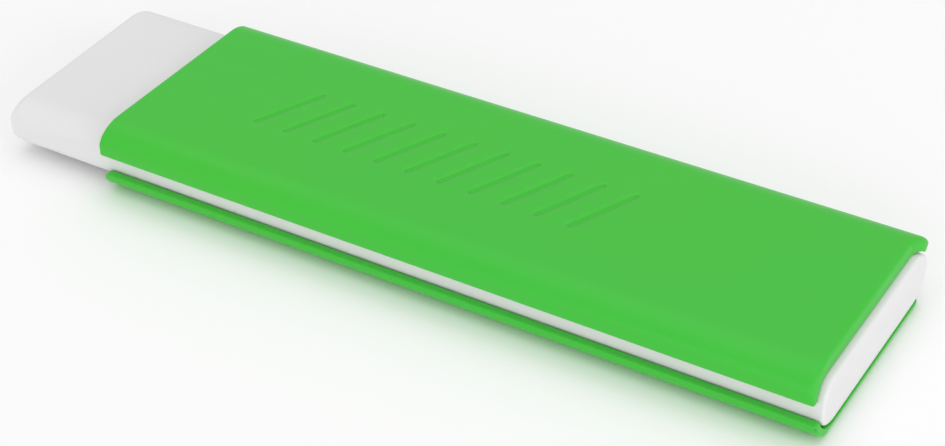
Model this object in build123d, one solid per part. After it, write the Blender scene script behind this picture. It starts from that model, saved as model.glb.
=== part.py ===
"""A flat block of white vinyl eraser in a thin moulded plastic sleeve.

The frame stands on the middle of the sleeve's underside. X runs along the block, and the working end
of the block points to -X. Y runs across, with the sleeve's open slot on the -Y side. Z is up.
"""
import os
from math import cos, radians, sin, tan

from build123d import *

# Driving dimensions, in millimetres and degrees.

# The block of vinyl.
block_length = 117.3
block_width = 30.6
block_thickness = 6.7
block_edge_across = 3.4          # the long edges are quarter ellipses: their reach across the face
block_edge_down = 2.4            # and their reach down the side
block_corner = 0.3               # plan radius at the upright corners
block_far_corner = 1.9           # except at the working end's far corner, which is worn rounder
block_skew = 2.1                 # how far the working end is out of square
block_working_ease = 1.5         # rounding at the top and foot of the working end
block_back_ease = 0.5            # and of the back end
block_back_inset = 0.25          # how far the back end stands inside the sleeve's floor

# The sleeve.
sleeve_length = 100.5            # along the floor
floor_wall = 0.9
side_wall = 1.1
top_wall = 1.8
side_clearance = 0.1             # gap between block and sleeve, all round
sleeve_edge_across = 4.2         # outer long edges, quarter ellipses like the block's
sleeve_edge_down = 2.9
back_lean = 1.5                  # how far the back end leans in from its foot to its top
near_corner = 0.5                # plan radius of the sleeve's corners on the slot side
far_corner = 1.5                 # and on the closed side
end_ease = 0.35                  # rounding of the sleeve's outer end edges
back_top_ease = 0.8              # and of the back end's upper edge

# The open slot along the near side.
lower_lip = 3.05                 # top of the lower lip above the underside
slot_height = 2.6
lip_corner = 0.4                 # rounding of the lips at their ends
lip_nose = 1.1                   # and of the lower lip at the working end

# The notches that leave the far side open at both ends.
notch_depth = 12.0
notch_top = 7.5                  # upper edge above the underside
notch_foot_angle = 58.0          # lower edge, below level, about the centre of the long rounding
notch_corner = 1.2

# The shallow slanted grip lines moulded into the top.
grip_count = 11
grip_pitch = 4.6
grip_length = 11.0
grip_width = 0.9
grip_depth = 0.22
grip_lean = 24.0                 # from straight across
grip_middle = 41.5               # middle of the row, from the sleeve's working end

# What follows from them.
bore_width = block_width + 2 * side_clearance
bore_height = block_thickness + 2 * side_clearance
sleeve_width = bore_width + 2 * side_wall
sleeve_height = floor_wall + bore_height + top_wall
sleeve_middle = sleeve_height / 2
bore_middle = floor_wall + bore_height / 2
sleeve_working = -sleeve_length / 2
sleeve_back = sleeve_length / 2
block_back = sleeve_back - block_back_inset
block_working = block_back - block_length
overrun = 5.0                    # how far cutting shapes run past what they cut
quarter_turn = 90


def rounded_section(width, height, across, down):
    """A rectangle on Y and Z, with a quarter ellipse at each corner."""
    out, up = width / 2 - across, height / 2 - down
    corners = [(out, up), (-out, up), (-out, -up), (out, -up)]
    with BuildSketch(Plane.YZ) as section:
        with BuildLine():
            arcs = [
                EllipticalCenterArc(corner, across, down, turn * quarter_turn, arc_size=quarter_turn)
                for turn, corner in enumerate(corners)
            ]
            for arc, following in zip(arcs, arcs[1:] + arcs[:1]):
                Line(arc @ 1, following @ 0)
        make_face()
    return section.sketch


def run_along(section, start, end, height=0):
    """A section on Y and Z, lifted by height and run along X from start to end."""
    return extrude(Pos(start, 0, height) * section, end - start, dir=(1, 0, 0))


def run_across(outline, near, far, drift=0):
    """An outline on X and Z, run along Y from near to far while it drifts along X."""
    reach = Vector(drift, far - near, 0)
    return extrude(Pos(0, near, 0) * (Plane.XZ * outline), reach.length, dir=reach)


def eased_plate(start, finish, foot, top, ease, eased_side):
    """A rectangle on X and Z whose corners are rounded on one side, 1 for the finish or -1 for the start."""
    outline = Polygon((start, foot), (finish, foot), (finish, top), (start, top), align=None)
    middle = (start + finish) / 2
    corners = outline.vertices().filter_by(lambda corner: (corner.X - middle) * eased_side > 0)
    return fillet(corners, ease)


def make_eraser():
    section = rounded_section(block_width, block_thickness, block_edge_across, block_edge_down)
    half_width = block_width / 2
    skew = half_width * tan(radians(block_skew))
    foot = bore_middle - block_thickness / 2
    top = bore_middle + block_thickness / 2
    before, beyond = block_working - overrun, block_back + overrun
    near_working = Vector(block_working + skew, -half_width)
    far_working = Vector(block_working - skew, half_width)
    plan = Polygon(
        near_working, (block_back, -half_width), (block_back, half_width), far_working, align=None
    )
    worn = plan.vertices().sort_by_distance(far_working)[0]
    plan = fillet(worn, block_far_corner)
    square = plan.vertices().filter_by(lambda corner: corner.Y < 0 or corner.X > 0)
    plan = fillet(square, block_corner)
    working_side = eased_plate(block_working + skew, beyond + skew, foot, top, block_working_ease, -1)
    back_side = eased_plate(before, block_back, foot, top, block_back_ease, 1)
    block = run_along(section, before, beyond, bore_middle)
    block = block & extrude(plan, sleeve_height)
    block = block & run_across(working_side, -half_width, half_width, -2 * skew)
    return block & run_across(back_side, -half_width, half_width)


def back_end(height):
    """Where the sleeve's leaning back end stands, at a height above the underside."""
    return sleeve_back - back_lean * height / sleeve_height


def near_slot():
    """The opening along the near side, flared past both ends so that it rounds the lips' corners."""
    upper_lip = lower_lip + slot_height
    flare = 2 * lip_nose
    low, high = lower_lip - flare, upper_lip + flare
    corners = [
        (Vector(sleeve_working, lower_lip), lip_nose),
        (Vector(back_end(lower_lip), lower_lip), lip_corner),
        (Vector(back_end(upper_lip), upper_lip), lip_corner),
        (Vector(sleeve_working, upper_lip), lip_corner),
    ]
    before, beyond = sleeve_working - overrun, sleeve_back + overrun
    outline = Polygon(
        (before, low), (sleeve_working, low), corners[0][0],
        corners[1][0], (back_end(low), low), (beyond, low),
        (beyond, high), (back_end(high), high), corners[2][0],
        corners[3][0], (sleeve_working, high), (before, high),
        align=None,
    )
    for corner, radius in corners:
        outline = fillet(outline.vertices().sort_by_distance(corner)[0], radius)
    near_side = -sleeve_width / 2
    return run_across(outline, near_side - overrun, near_side + sleeve_edge_across)


def far_notch(end, inward):
    """One of the notches through the far side, open at the sleeve's end."""
    centre_y, centre_z = sleeve_width / 2 - sleeve_edge_across, sleeve_edge_down
    reach = sleeve_width
    foot = radians(notch_foot_angle)
    section = Plane.YZ * Polygon(
        (centre_y, centre_z),
        (centre_y + reach * cos(foot), centre_z - reach * sin(foot)),
        (centre_y + reach, notch_top),
        (centre_y, notch_top),
        align=None,
    )
    middle = end + inward * (notch_depth - overrun) / 2
    side = Pos(middle, notch_top - reach / 2) * RectangleRounded(
        notch_depth + overrun, reach, notch_corner
    )
    block = run_along(section, sleeve_working - overrun, sleeve_back + overrun)
    return block & run_across(side, 0, sleeve_width)


def grip_lines():
    line = SlotOverall(grip_length, grip_width, rotation=quarter_turn - grip_lean)
    first = sleeve_working + grip_middle - (grip_count - 1) / 2 * grip_pitch
    foot = sleeve_height - grip_depth
    return [
        extrude(Pos(first + place * grip_pitch, 0, foot) * line, overrun) for place in range(grip_count)
    ]


def sleeve_side():
    """The sleeve's outline from the side, with the back end leaning in and every corner rounded."""
    outline = Polygon(
        (sleeve_working, 0), (sleeve_back, 0), (back_end(sleeve_height), sleeve_height),
        (sleeve_working, sleeve_height), align=None,
    )
    back_top = outline.vertices().sort_by_distance(Vector(back_end(sleeve_height), sleeve_height))[0]
    outline = fillet(back_top, back_top_ease)
    others = outline.vertices().filter_by(lambda corner: corner.X < 0 or corner.Y < end_ease)
    return fillet(others, end_ease)


def make_sleeve():
    outer = rounded_section(sleeve_width, sleeve_height, sleeve_edge_across, sleeve_edge_down)
    bore = rounded_section(
        bore_width, bore_height, sleeve_edge_across - side_wall, sleeve_edge_down - floor_wall
    )
    plan = Rectangle(sleeve_length, sleeve_width)
    plan = fillet(plan.vertices().filter_by(lambda corner: corner.Y < 0), near_corner)
    far = plan.vertices().filter_by(lambda corner: corner.Y > sleeve_width / 2 - near_corner)
    plan = fillet(far, far_corner)
    start, finish = sleeve_working - overrun, sleeve_back + overrun
    shell = run_along(outer, start, finish, sleeve_middle)
    shell = shell & run_across(sleeve_side(), -sleeve_width, sleeve_width)
    shell = shell & extrude(Pos(0, 0, -overrun) * plan, sleeve_height + 2 * overrun)
    shell -= run_along(bore, start, finish, bore_middle)
    shell -= near_slot()
    shell -= far_notch(sleeve_working, 1)
    shell -= far_notch(sleeve_back, -1)
    for line in grip_lines():
        shell -= line
    return shell


os.makedirs("parts", exist_ok=True)
export_step(make_eraser(), "parts/eraser.step")
export_step(make_sleeve(), "parts/sleeve.step")
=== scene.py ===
import math

import bmesh
import bpy
import numpy as np
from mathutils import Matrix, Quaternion, Vector, geometry


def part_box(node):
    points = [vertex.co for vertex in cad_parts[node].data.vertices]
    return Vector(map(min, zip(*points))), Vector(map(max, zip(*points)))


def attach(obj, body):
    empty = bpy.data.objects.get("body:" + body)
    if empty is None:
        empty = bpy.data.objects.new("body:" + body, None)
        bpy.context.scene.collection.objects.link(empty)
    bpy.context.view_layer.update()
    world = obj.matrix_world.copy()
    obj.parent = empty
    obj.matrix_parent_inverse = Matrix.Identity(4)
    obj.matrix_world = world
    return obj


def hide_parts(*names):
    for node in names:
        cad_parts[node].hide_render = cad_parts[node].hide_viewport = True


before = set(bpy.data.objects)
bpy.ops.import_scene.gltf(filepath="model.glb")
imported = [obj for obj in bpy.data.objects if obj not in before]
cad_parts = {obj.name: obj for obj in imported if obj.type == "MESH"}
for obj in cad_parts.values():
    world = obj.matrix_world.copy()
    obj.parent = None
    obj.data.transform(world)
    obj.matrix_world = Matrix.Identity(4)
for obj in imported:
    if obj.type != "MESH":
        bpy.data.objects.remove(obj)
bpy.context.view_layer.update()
mm = 0.001               # shapes are worked out in millimetres and built in metres
tiny = 1e-6              # lengths below this count as nothing
quarterTurn = math.pi / 2
print("frame loaded:", sorted(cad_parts))


# Outlines drawn on a flat sheet: rows of two numbers

def evenSteps(start, end, spacing):
    count = max(1, math.ceil(abs(end - start) / spacing))
    return np.linspace(start, end, count + 1)


def withoutDoubles(values, digits=6):
    return np.unique(np.round(values, digits))


def runLengths(line):
    return np.concatenate([[0], np.cumsum(np.linalg.norm(np.diff(line, axis=0), axis=1))])


def trimLine(line, fromStart, fromEnd):
    run = runLengths(line)
    first, last = fromStart, run[-1] - fromEnd
    keep = (run > first + tiny) & (run < last - tiny)
    ends = [[np.interp(place, run, line[:, axis]) for axis in (0, 1)] for place in (first, last)]
    return np.vstack([ends[0], line[keep], ends[1]])


arcSpacing = 0.12        # between points round a corner, in millimetres
fewestArcSteps = 6
arcPull = 0.5523         # how far the handles reach, so that the corner's curve is nearly round


def roundedLoop(lines, radii):
    # joins the lines end to end in a closed loop; radii[i] rounds the corner after line i
    loop = []
    for place, line in enumerate(lines):
        after, before = radii[place], radii[place - 1]
        following = lines[(place + 1) % len(lines)]
        kept = trimLine(line, before, after)
        corner, leaving, landing = line[-1], kept[-1], trimLine(following, after, 0)[0]
        count = max(fewestArcSteps, math.ceil(after / arcSpacing))
        steps = np.linspace(0, 1, count + 1)[1:-1, None]
        handleA = leaving + (corner - leaving) * arcPull
        handleB = landing + (corner - landing) * arcPull
        loop.append(kept)
        loop.append(
            (1 - steps) ** 3 * leaving + 3 * (1 - steps) ** 2 * steps * handleA
            + 3 * (1 - steps) * steps ** 2 * handleB + steps ** 3 * landing
        )
    return np.vstack(loop)


def inwardOf(loop):
    # unit vectors pointing into a loop that runs clockwise
    along = np.roll(loop, -1, axis=0) - np.roll(loop, 1, axis=0)
    along /= np.linalg.norm(along, axis=1)[:, None]
    return np.column_stack([along[:, 1], -along[:, 0]])


def insideLoop(points, loop):
    inside = np.zeros(len(points), bool)
    for (ax, ay), (bx, by) in zip(loop, np.roll(loop, -1, axis=0)):
        crosses = (ay > points[:, 1]) != (by > points[:, 1])
        if ay != by:
            inside ^= crosses & (points[:, 0] < (bx - ax) * (points[:, 1] - ay) / (by - ay) + ax)
    return inside


def distanceTo(points, loop):
    nearest = np.full(len(points), np.inf)
    for start, end in zip(loop, np.roll(loop, -1, axis=0)):
        run = end - start
        along = np.clip(((points - start) @ run) / max(run @ run, tiny ** 2), 0, 1)
        nearest = np.minimum(nearest, np.linalg.norm(points - start - along[:, None] * run, axis=1))
    return nearest


def fillSheet(loop, rings, points):
    # triangles that fill a loop, through closed rings and loose points; returns the points, the faces,
    # and for each point its place among those put in, or -1
    groups = [loop, *rings]
    starts = np.cumsum([0] + [len(group) for group in groups])
    edges = []
    for group, start in zip(groups, starts):
        edges += [(start + i, start + (i + 1) % len(group)) for i in range(len(group))]
    corners = [Vector(point) for point in np.vstack([*groups, points])]
    insideOnly, mergeWithin = 1, 1e-7
    found = geometry.delaunay_2d_cdt(corners, edges, [], insideOnly, mergeWithin)
    origin = [sources[0] if sources else -1 for sources in found[3]]
    return np.array([tuple(point) for point in found[0]]), [tuple(face) for face in found[2]], origin


def bridge(first, second, count):
    # quads between two loops of as many points, each given by the number of its first point
    return [
        (first + i, first + (i + 1) % count, second + (i + 1) % count, second + i) for i in range(count)
    ]


def makePiece(name, points, faces, material):
    mesh = bpy.data.meshes.new(name)
    mesh.from_pydata([tuple(point) for point in np.asarray(points) * mm], [], faces)
    work = bmesh.new()
    work.from_mesh(mesh)
    bmesh.ops.recalc_face_normals(work, faces=work.faces)
    loose = [vertex for vertex in work.verts if not vertex.link_faces]
    bmesh.ops.delete(work, geom=loose, context="VERTS")
    work.to_mesh(mesh)
    work.free()
    mesh.polygons.foreach_set("use_smooth", [True] * len(mesh.polygons))
    mesh.materials.append(material)
    piece = bpy.data.objects.new(name, mesh)
    bpy.context.scene.collection.objects.link(piece)
    return piece


# Sections of sleeve, bore and block: a rectangle with quarter-ellipse corners, walked from the middle
# of its near side, up, over the top and round under. Heights are measured from its middle.

cornerSteps = 160


def roundedSection(width, height, across, down):
    out, up = width / 2 - across, height / 2 - down
    rows = [(-width / 2, 0, -1, 0)]         # across, up, and the outward lean of the surface
    for quarter, (cornerY, cornerZ) in enumerate([(-out, up), (out, up), (out, -up), (-out, -up)]):
        start = math.pi - quarter * quarterTurn
        for angle in np.linspace(start, start - quarterTurn, cornerSteps + 1):
            leanY, leanZ = math.cos(angle) / across, math.sin(angle) / down
            size = math.hypot(leanY, leanZ)
            y, z = cornerY + across * math.cos(angle), cornerZ + down * math.sin(angle)
            rows.append((y, z, leanY / size, leanZ / size))
    rows.append((-width / 2, 0, -1, 0))
    rows = np.array(rows)
    return runLengths(rows[:, :2]), rows


def sectionStops(section):
    # runs where the straights and corners meet: near side, top, far side, underside, near side
    corners = [
        1 + quarter * (cornerSteps + 1) + step for quarter in range(4) for step in (0, cornerSteps)
    ]
    return section[0][[0, *corners, -1]]


def girthRuns(section, side, corner, top, underside):
    # runs round a section at these spacings, with every stop among them
    spacing = [side, corner, top, corner, side, corner, underside, corner, side]
    stops = sectionStops(section)
    return withoutDoubles(np.concatenate([
        evenSteps(first, last, step) for first, last, step in zip(stops, stops[1:], spacing)
    ]))


def onSection(section, run):
    lengths, rows = section
    return [np.interp(run, lengths, rows[:, column]) for column in range(4)]


# Finishes

def newMaterial(name, colour, roughness):
    material = bpy.data.materials.new(name)
    material.use_nodes = True
    nodes, links = material.node_tree.nodes, material.node_tree.links
    shader = nodes["Principled BSDF"]
    shader.inputs["Base Color"].default_value = (*colour, 1)
    shader.inputs["Roughness"].default_value = roughness
    place = nodes.new("ShaderNodeTexCoord")
    return material, nodes, links, shader, place.outputs["Object"]


def addNoise(nodes, links, place, scale, detail, stretch=(1, 1, 1)):
    mapping = nodes.new("ShaderNodeMapping")
    mapping.inputs["Scale"].default_value = stretch
    links.new(place, mapping.inputs["Vector"])
    texture = nodes.new("ShaderNodeTexNoise")
    texture.inputs["Scale"].default_value = scale
    texture.inputs["Detail"].default_value = detail
    links.new(mapping.outputs["Vector"], texture.inputs["Vector"])
    return texture.outputs["Fac"]


def addRange(nodes, links, value, low, high, fromLow=0.3, fromHigh=0.7):
    # most of a noise lies from 0.3 to 0.7
    remap = nodes.new("ShaderNodeMapRange")
    remap.inputs["From Min"].default_value = fromLow
    remap.inputs["From Max"].default_value = fromHigh
    remap.inputs["To Min"].default_value = low
    remap.inputs["To Max"].default_value = high
    links.new(value, remap.inputs["Value"])
    return remap.outputs["Result"]


def addBlend(nodes, links, value, first, second):
    blend = nodes.new("ShaderNodeMix")
    blend.data_type = "RGBA"
    blend.inputs["A"].default_value = (*first, 1)
    blend.inputs["B"].default_value = (*second, 1)
    links.new(value, blend.inputs["Factor"])
    return blend.outputs["Result"]


def addBumps(nodes, links, shader, *layers):
    # each layer is a height, and a pair of strength and depth in metres, laid over the one before
    under = None
    for height, (strength, depth) in layers:
        bump = nodes.new("ShaderNodeBump")
        bump.inputs["Strength"].default_value = strength
        bump.inputs["Distance"].default_value = depth
        links.new(height, bump.inputs["Height"])
        if under:
            links.new(under, bump.inputs["Normal"])
        under = bump.outputs["Normal"]
    links.new(under, shader.inputs["Normal"])


plasticLook = {
    "colour": (0.058, 0.53, 0.03),
    "colourCool": (0.04, 0.515, 0.046),
    "driftScale": 22,              # per metre, as are the scales below
    "specular": 0.3,
    "roughness": (0.3, 0.44),
    "streakScale": 260,
    "streakStretch": (0.1, 1, 1),  # moulding streaks run along the sleeve
    "rippleScale": 45,
    "rippleStretch": (0.5, 1, 1),
    "rippleBump": (0.5, 0.00025),  # strength, and depth in metres
    "grainScale": 2200,
    "grainBump": (0.3, 0.00002),
}


def greenPlastic():
    look = plasticLook
    flatRoughness = sum(look["roughness"]) / 2
    made = newMaterial("greenSleevePlastic", look["colour"], flatRoughness)
    material, nodes, links, shader, place = made
    shader.inputs["Specular IOR Level"].default_value = look["specular"]
    drift = addNoise(nodes, links, place, look["driftScale"], detail=2)
    colour = addBlend(nodes, links, drift, look["colour"], look["colourCool"])
    links.new(colour, shader.inputs["Base Color"])
    streaks = addNoise(nodes, links, place, look["streakScale"], 4, look["streakStretch"])
    links.new(addRange(nodes, links, streaks, *look["roughness"]), shader.inputs["Roughness"])
    ripple = addNoise(nodes, links, place, look["rippleScale"], 1, look["rippleStretch"])
    grain = addNoise(nodes, links, place, look["grainScale"], detail=2)
    addBumps(nodes, links, shader, (ripple, look["rippleBump"]), (grain, look["grainBump"]))
    return material


vinylLook = {
    "colour": (0.80, 0.788, 0.798),
    "colourDull": (0.765, 0.755, 0.765),
    "cloudScale": 90,              # per metre, as are the scales below
    "specular": 0.35,
    "glow": 0.2,                   # share of the light that goes in and comes out again
    "glowColours": (1, 0.95, 0.9),
    "glowDepth": 0.0015,           # metres
    "roughness": (0.52, 0.68),
    "grainScale": 2600,
    "grainBump": (0.3, 0.00003),   # strength, and depth in metres
    "dentScale": 220,
    "dentBump": (0.25, 0.00012),
}


def whiteVinyl():
    look = vinylLook
    flatRoughness = sum(look["roughness"]) / 2
    made = newMaterial("whiteVinyl", look["colour"], flatRoughness)
    material, nodes, links, shader, place = made
    shader.inputs["Specular IOR Level"].default_value = look["specular"]
    shader.inputs["Subsurface Weight"].default_value = look["glow"]
    shader.inputs["Subsurface Radius"].default_value = look["glowColours"]
    shader.inputs["Subsurface Scale"].default_value = look["glowDepth"]
    cloud = addNoise(nodes, links, place, look["cloudScale"], detail=4)
    colour = addBlend(nodes, links, cloud, look["colour"], look["colourDull"])
    links.new(colour, shader.inputs["Base Color"])
    grain = addNoise(nodes, links, place, look["grainScale"], detail=3)
    links.new(addRange(nodes, links, grain, *look["roughness"]), shader.inputs["Roughness"])
    dents = addNoise(nodes, links, place, look["dentScale"], detail=2)
    addBumps(nodes, links, shader, (dents, look["dentBump"]), (grain, look["grainBump"]))
    return material


# The sleeve: one thin moulded shell, laid out flat as a sheet of length by girth, then wrapped

sleeveShape = {
    "floorWall": 0.9,
    "sideWall": 1.1,
    "topWall": 1.8,
    "edgeAcross": 4.2,             # the long edges are quarter ellipses
    "edgeDown": 2.9,
    "lowerLip": 3.05,              # the slot, above the underside
    "upperLip": 5.65,
    "lipCorner": 0.3,
    "lipNose": 0.9,                # the lower lip's rounder end, at the working end
    "nearCorner": 0.1,             # plan radii of the end corners
    "farTopCorner": 0.7,
    "farFootCorner": 4.0,
    "notchDepth": 12.0,            # notches that leave the far side open at both ends
    "notchTop": 7.5,
    "notchFootAngle": 58.0,        # degrees below level, about the centre of the long rounding
    "notchCorner": 1.2,
    "notchMouth": 0.4,
    "outerRim": 0.25,              # rounding of every free edge
    "innerRim": 0.12,
    "footRound": 0.85,             # the floor rounds up at both ends
    "footReach": 3,                # and the rounding fades out over this many of its radii
    "workingLean": 0.09,           # above half height the working end leans out, mm per mm
    "backLean": 1.5,               # the back end leans in towards its top
    "backLeanReach": 12.0,
    "farLean": 0.35,               # but only this share of it down the far side
    "farLeanReach": (12.3, 14.8),
    "backRoundAlong": 1.0,         # and its upper edge is rounded over
    "backRound": 0.5,
}

sleeveMesh = {                     # spacings and clearances on the sheet, in millimetres
    "girth": (0.6, 0.28, 1.1, 1.5),  # up the sides, round the corners, over the top, underneath
    "endBand": 2,
    "workingEnd": 0.3,
    "length": 1.1,
    "backEnd": 0.15,
    "endEdge": 0.3,
    "notchEdge": 0.5,
    "lipPoints": 100,
    "rimSteps": 5,
    "clearOfEdge": 0.12,
}

gripShape = {
    "count": 11,
    "pitch": 4.6,
    "length": 11.0,
    "width": 0.9,
    "depth": 0.22,
    "lean": 24.0,                  # degrees from straight across
    "middle": 41.5,                # middle of the row from the working end
    "rings": (1.0, 0.86, 0.7, 0.5, 0.28),  # shares of the width, from the rim to the bottom
    "capSteps": 8,
    "flankSpacing": 0.5,
    "clearOfRim": 0.15,
}


def gripRings(topRun, workingEnd):
    # closed rings round each grip line, on the flat sheet, and the depth at each ring
    grip = gripShape
    lean = math.radians(grip["lean"])
    along = np.array([math.sin(lean), math.cos(lean)])
    side = np.array([along[1], -along[0]])
    half = (grip["length"] - grip["width"]) / 2
    turns = np.linspace(0, math.pi, grip["capSteps"] + 1)
    reaches = evenSteps(half, -half, grip["flankSpacing"])[1:-1]
    rings, depths = [], []
    for place in range(grip["count"]):
        fromMiddle = (place - (grip["count"] - 1) / 2) * grip["pitch"]
        middle = np.array([workingEnd + grip["middle"] + fromMiddle, topRun])
        for share in grip["rings"]:
            radius = grip["width"] / 2 * share
            cap = [
                side * math.cos(turn) * radius + along * (half + math.sin(turn) * radius)
                for turn in turns
            ]
            flank = [side * -radius + along * reach for reach in reaches]
            ring = np.array(cap + flank)
            rings.append(middle + np.vstack([ring, -ring]))
            depths.append(grip["depth"] / 2 * (1 + math.cos(math.pi * max(0, 2 * share - 1))))
    return rings, depths


def endLines(end, inward, lips, notch, inset):
    # one end of the sheet, from the upper lip round its notch to the lower lip
    upper = evenSteps(lips[0], notch[0], sleeveMesh["endEdge"])
    lower = evenSteps(notch[1], lips[1], sleeveMesh["endEdge"])
    upperEdge = np.column_stack([end + inward * inset(upper), upper])
    lowerEdge = np.column_stack([end + inward * inset(lower), lower])
    inner = end + inward * sleeveShape["notchDepth"]
    roof = evenSteps(upperEdge[-1, 0], inner, sleeveMesh["notchEdge"])
    wall = evenSteps(*notch, sleeveMesh["notchEdge"])
    sill = evenSteps(inner, lowerEdge[0, 0], sleeveMesh["notchEdge"])
    return [
        upperEdge,
        np.column_stack([roof, np.full(len(roof), notch[0])]),
        np.column_stack([np.full(len(wall), inner), wall]),
        np.column_stack([sill, np.full(len(sill), notch[1])]),
        lowerEdge,
    ]


def sleeveOutline(section, low, high):
    # the sheet's edge, clockwise: working end, lower lip, back end, upper lip
    shape = sleeveShape
    lengths, rows = section
    half, height, middle = (high.y - low.y) / 2, high.z - low.z, (low.z + high.z) / 2

    def inset(run):
        across = onSection(section, run)[0]
        farRadius = np.where(run < lengths[-1] / 2, shape["farTopCorner"], shape["farFootCorner"])
        radius = np.where(across < 0, shape["nearCorner"], farRadius)
        into = np.clip(np.abs(across) - (half - radius), 0, radius)
        return radius - np.sqrt(np.maximum(radius ** 2 - into ** 2, 0))

    farSide = (rows[:, 0] > 0) & (np.abs(rows[:, 1]) < height / 2 - tiny)
    foot = math.radians(shape["notchFootAngle"])
    footTurn = math.atan(math.tan(foot) * shape["edgeAcross"] / shape["edgeDown"])
    footHeight = shape["edgeDown"] * (1 - math.sin(footTurn))
    notch = [
        np.interp(middle - level, -rows[farSide, 1], lengths[farSide])
        for level in (shape["notchTop"], footHeight)
    ]
    lips = (shape["upperLip"] - middle, lengths[-1] + shape["lowerLip"] - middle)
    working = endLines(low.x, 1, lips, notch, inset)
    back = [line[::-1] for line in endLines(high.x, -1, lips, notch, inset)[::-1]]
    lowerLine = np.linspace(working[-1][-1], back[0][0], sleeveMesh["lipPoints"])
    upperLine = np.linspace(back[-1][-1], working[0][0], sleeveMesh["lipPoints"])
    mouth, inner, corner = shape["notchMouth"], shape["notchCorner"], shape["lipCorner"]
    radii = [
        mouth, inner, inner, mouth, shape["lipNose"],
        corner, mouth, inner, inner, mouth, corner, corner,
    ]
    return roundedLoop([*working, lowerLine, *back, upperLine], radii)


def sleeveGrid(section, low, high):
    # loose points for the fill, close together where the sheet bends and towards its ends
    spacing = sleeveMesh
    first, last = low.x + spacing["endBand"], high.x - spacing["endBand"]
    lengthLines = withoutDoubles(np.concatenate([
        evenSteps(low.x, first, spacing["workingEnd"]),
        evenSteps(first, last, spacing["length"]),
        evenSteps(last, high.x, spacing["backEnd"]),
    ]))
    girthLines = girthRuns(section, *spacing["girth"])
    return np.array([(x, run) for x in lengthLines for run in girthLines])


def sleeveWrap(low, high):
    # the sleeve's outer section, and the function that wraps the sheet round it or round the bore
    shape = sleeveShape
    width, height = high.y - low.y, high.z - low.z
    middle = (low.z + high.z) / 2
    outer = roundedSection(width, height, shape["edgeAcross"], shape["edgeDown"])
    boreWidth = width - 2 * shape["sideWall"]
    boreHeight = height - shape["floorWall"] - shape["topWall"]
    boreMiddle = low.z + shape["floorWall"] + boreHeight / 2
    boreAcross = shape["edgeAcross"] - shape["sideWall"]
    boreDown = shape["edgeDown"] - shape["floorWall"]
    bore = roundedSection(boreWidth, boreHeight, boreAcross, boreDown)

    # the same place on both sections: level along the sides, stop by stop elsewhere
    outerStops, boreStops = sectionStops(outer), sectionStops(bore)
    shift = middle - boreMiddle
    outerStops[1] = boreStops[1] - shift
    outerStops[4] += sectionStops(outer)[1] - outerStops[1]
    boreStops[0] += shift
    boreStops[-1] += shift

    def shapeEnds(points):
        x, z = points[:, 0].copy(), points[:, 2] - low.z
        footReach = shape["footReach"] * shape["footRound"]
        fromWorking = np.clip(1 - (x - low.x) / footReach, 0, 1)
        fromBack = np.clip(1 - (high.x - x) / footReach, 0, 1)
        under = np.clip(shape["footRound"] - z, 0, shape["footRound"])
        footInset = shape["footRound"] - np.sqrt(shape["footRound"] ** 2 - under ** 2)
        points[:, 0] += (fromWorking - fromBack) * footInset
        share = np.interp(points[:, 1], shape["farLeanReach"], (1, shape["farLean"]))
        leaning = np.clip(1 - (high.x - x) / shape["backLeanReach"], 0, 1)
        points[:, 0] -= leaning * share * shape["backLean"] * z / height
        points[:, 0] -= fromWorking * np.where(z > height / 2, (height - z) * shape["workingLean"], 0)
        return points

    def wrap(sheet, depth, fromInside):
        # from the sheet to the outer skin or to the bore, at a depth into the wall
        x, run = sheet.T
        if fromInside:
            y, z, leanY, leanZ = onSection(bore, np.interp(run, outerStops, boreStops))
            return shapeEnds(np.column_stack([x, y + leanY * depth, z + leanZ * depth + boreMiddle]))
        y, z, leanY, leanZ = onSection(outer, run)
        into = np.clip(1 - (high.x - x) / shape["backRoundAlong"], 0, 1)
        overTop = np.clip(z / shape["edgeDown"], 0, 1)
        under = depth + overTop * shape["backRound"] * (1 - np.sqrt(1 - into ** 2))
        return shapeEnds(np.column_stack([x, y - leanY * under, z - leanZ * under + middle]))

    return outer, wrap


def fillSkin(edge, grid, rings, ringDepths):
    # fills the sheet inside an edge, with sunk rings in it; also returns how deep each point lies
    keep = insideLoop(grid, edge) & (distanceTo(grid, edge) > sleeveMesh["clearOfEdge"])
    for rim in rings[::len(gripShape["rings"])]:
        near = np.where(keep & (np.abs(grid[:, 0] - rim[:, 0].mean()) < gripShape["length"]))[0]
        close = distanceTo(grid[near], rim) < gripShape["clearOfRim"]
        keep[near[close | insideLoop(grid[near], rim)]] = False
    sheet, faces, origin = fillSheet(edge, rings, grid[keep])
    sunk = [0] * len(edge) + [depth for ring, depth in zip(rings, ringDepths) for _ in ring]
    depths = [sunk[source] if 0 <= source < len(sunk) else 0 for source in origin]
    return sheet, np.array(depths, float), faces, origin


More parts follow.
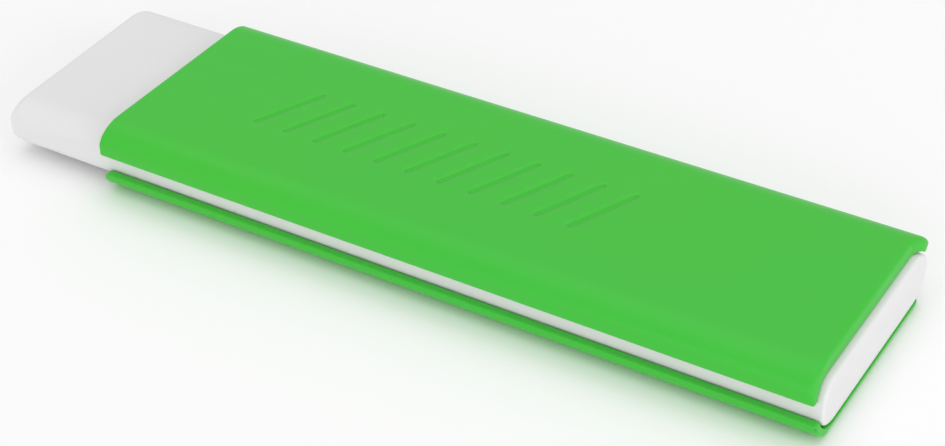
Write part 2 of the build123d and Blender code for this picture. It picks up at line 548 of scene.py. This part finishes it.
def makeSleeve(material):
    low, high = (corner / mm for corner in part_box("sleeve"))
    outer, wrap = sleeveWrap(low, high)
    outline = sleeveOutline(outer, low, high)
    inward = inwardOf(outline)
    grid = sleeveGrid(outer, low, high)
    topRun = sectionStops(outer)[2:4].mean()
    grips = gripRings(topRun, low.x)
    turns = np.linspace(0, quarterTurn, sleeveMesh["rimSteps"] + 1)
    points, faces, outermost = [], [], []

    def addPoints(group):
        points.append(group)
        return sum(len(earlier) for earlier in points[:-1])

    for fromInside in (False, True):
        radius = sleeveShape["innerRim" if fromInside else "outerRim"]
        rims = []
        for turn in turns:
            # each rim loop stands a little further in from the edge and a little less deep
            ring = outline + inward * radius * (1 - math.cos(turn))
            depth = np.full(len(outline), radius * (1 - math.sin(turn)))
            rims.append(addPoints(wrap(ring, depth, fromInside)))
        for first, second in zip(rims, rims[1:]):
            faces += bridge(first, second, len(outline))
        outermost.append(rims[0])
        edge = outline + inward * radius
        sheet, depths, filled, origin = fillSkin(edge, grid, *(([], []) if fromInside else grips))
        start = addPoints(wrap(sheet, depths, fromInside))
        # the fill shares its outer loop with the last rim loop
        onEdge = {
            place: rims[-1] + source for place, source in enumerate(origin) if 0 <= source < len(edge)
        }
        faces += [tuple(onEdge.get(corner, start + corner) for corner in face) for face in filled]
    faces += bridge(*outermost, len(outline))
    return makePiece("sleeveShell", np.vstack(points), faces, material)


# The block of vinyl: one section run from end to end, with rounded ends

blockShape = {
    "length": 117.28,              # along the middle
    "edgeAcross": 3.4,
    "edgeDown": 2.4,
    "workingEase": 1.5,            # rounding at the top and foot of the two ends
    "backEase": 0.5,
    "corner": 0.3,                 # plan radii: three are nearly square, the far working one is worn
    "farCorner": 1.9,
    "skew": 2.1,                   # degrees: the working end is a little out of square
    "skewReach": 12.0,
}

blockMesh = {                      # spacings in millimetres
    "girth": (0.5, 0.3, 1.2, 1.2),  # up the sides, round the corners, over the top, underneath
    "length": 1.5,
    "easeSteps": 12,
    "capRings": (0.93, 0.8, 0.6, 0.35, 0.12),  # shares of the end's size, towards its middle
}


def roundInset(radius, gap):
    # how far a rounding of this radius has drawn in, at a gap from the end
    return radius - math.sqrt(max(radius ** 2 - max(radius - gap, 0) ** 2, 0))


def roundGaps(*radii):
    # gaps from the end, close together where the roundings turn fastest
    quarter = 1 - np.cos(np.linspace(0, quarterTurn, blockMesh["easeSteps"] + 1))
    return withoutDoubles(np.concatenate([radius * quarter for radius in radii]), digits=4)


def blockStations(workingEnd, backEnd):
    # stations along the block: place, gap from its end, and end rounding, near and far corner there
    shape = blockShape
    working = (shape["workingEase"], shape["corner"], shape["farCorner"])
    back = (shape["backEase"], shape["corner"], shape["corner"])
    reach = max(working)
    between = evenSteps(workingEnd + reach, backEnd - reach, blockMesh["length"])[1:]
    return (
        [(workingEnd + gap, gap, working) for gap in roundGaps(*working)]
        + [(x, reach, working) for x in between]
        + [(backEnd - gap, gap, back) for gap in roundGaps(*back)[::-1]]
    )


def makeBlock(material):
    shape = blockShape
    low, high = (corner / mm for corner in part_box("eraser"))
    width, height = high.y - low.y, high.z - low.z
    middle = (low.z + high.z) / 2
    slope = math.tan(math.radians(shape["skew"]))
    workingEnd = high.x - shape["length"]
    section = roundedSection(width, height, shape["edgeAcross"], shape["edgeDown"])
    runs = girthRuns(section, *blockMesh["girth"])[:-1]
    y, z, _, _ = onSection(section, runs)

    rings = []
    for x, gap, (ease, nearCorner, farCorner) in blockStations(workingEnd, high.x):
        nearInset, farInset = roundInset(nearCorner, gap), roundInset(farCorner, gap)
        across = y * (1 - (nearInset + farInset) / width) + (nearInset - farInset) / 2
        tall = 1 - 2 * roundInset(ease, gap) / height
        fade = max(0, 1 - (x - workingEnd) / shape["skewReach"])
        rings.append(np.column_stack([x - across * slope * fade, across, z * tall + middle]))

    def capRings(ring):
        centre = ring.mean(axis=0)
        return [centre + (ring - centre) * share for share in blockMesh["capRings"]], centre

    frontRings, frontCentre = capRings(rings[0])
    backRings, backCentre = capRings(rings[-1])
    rings = frontRings[::-1] + rings + backRings
    count = len(runs)
    faces = []
    for ring in range(len(rings) - 1):
        faces += bridge(ring * count, (ring + 1) * count, count)
    points = np.vstack(rings + [frontCentre, backCentre])
    frontPole, backPole = len(points) - 2, len(points) - 1
    lastRing = (len(rings) - 1) * count
    faces += [(frontPole, i, (i + 1) % count) for i in range(count)]
    faces += [(backPole, lastRing + (i + 1) % count, lastRing + i) for i in range(count)]
    return makePiece("vinylBlock", points, faces, material)


sleeveShell = makeSleeve(greenPlastic())
print("sleeve built:", len(sleeveShell.data.polygons), "faces")
vinylBlock = makeBlock(whiteVinyl())
print("block built:", len(vinylBlock.data.polygons), "faces")

for piece, node, body, slotName in (
    (sleeveShell, "sleeve", "sleeve", "green_sleeve"),
    (vinylBlock, "eraser", "block", "white_vinyl"),
):
    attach(piece, body)
    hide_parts(node)


# Studio

studio = {
    "cameraPlace": (110.11, -186.47, 158.76),  # millimetres
    "cameraAim": (-1.63, -4.34, 4.8),
    "cameraRoll": -0.99,           # degrees
    "lens": 81.2,
    "sensorWidth": 36,
    "floorHalf": 1500,
    "floorColour": (0.98, 0.98, 0.98),
    "floorRoughness": 0.9,
    "skyStrength": 0.7,
}

studioLights = {                   # place and size in metres, power in watts; all aim at the origin
    "overheadLight": {"place": (-0.1, 0.1, 0.7), "size": (0.8, 0.8), "power": 1.35},
    "frontLight": {"place": (0.15, -0.7, 0.2), "size": (0.8, 0.4), "power": 1.1},
    "backEndLight": {"place": (0.7, -0.1, 0.25), "size": (0.5, 0.4), "power": 1.1},
}


def makeCamera():
    data = bpy.data.cameras.new("camera")
    data.sensor_width = studio["sensorWidth"]
    data.lens = studio["lens"]
    data.clip_start = 0.01         # metres
    camera = bpy.data.objects.new("camera", data)
    bpy.context.scene.collection.objects.link(camera)
    place, aim = Vector(studio["cameraPlace"]) * mm, Vector(studio["cameraAim"]) * mm
    turn = (aim - place).to_track_quat("-Z", "Y")
    camera.location = place
    camera.rotation_mode = "QUATERNION"
    camera.rotation_quaternion = turn @ Quaternion((0, 0, 1), math.radians(studio["cameraRoll"]))
    bpy.context.scene.camera = camera


def makeFloor():
    mesh = bpy.data.meshes.new("floor")
    half = studio["floorHalf"] * mm
    corners = [(-half, -half, 0), (half, -half, 0), (half, half, 0), (-half, half, 0)]
    mesh.from_pydata(corners, [], [(0, 1, 2, 3)])
    material = newMaterial("paleFloor", studio["floorColour"], studio["floorRoughness"])[0]
    mesh.materials.append(material)
    floor = bpy.data.objects.new("floor", mesh)
    bpy.context.scene.collection.objects.link(floor)


def makeSky():
    world = bpy.data.worlds.new("paleSky")
    world.use_nodes = True
    sky = world.node_tree.nodes["Background"]
    sky.inputs["Color"].default_value = (1, 1, 1, 1)
    sky.inputs["Strength"].default_value = studio["skyStrength"]
    bpy.context.scene.world = world
    bpy.context.scene.view_settings.view_transform = "Standard"


def softLight(name, place, size, power):
    data = bpy.data.lights.new(name, "AREA")
    data.shape = "RECTANGLE"
    data.size, data.size_y = size
    data.energy = power
    light = bpy.data.objects.new(name, data)
    light.location = place
    light.rotation_euler = (-Vector(place)).to_track_quat("-Z", "Y").to_euler()
    bpy.context.scene.collection.objects.link(light)


makeCamera()
makeFloor()
makeSky()
for lightName, values in studioLights.items():
    softLight(lightName, **values)
print("studio set")
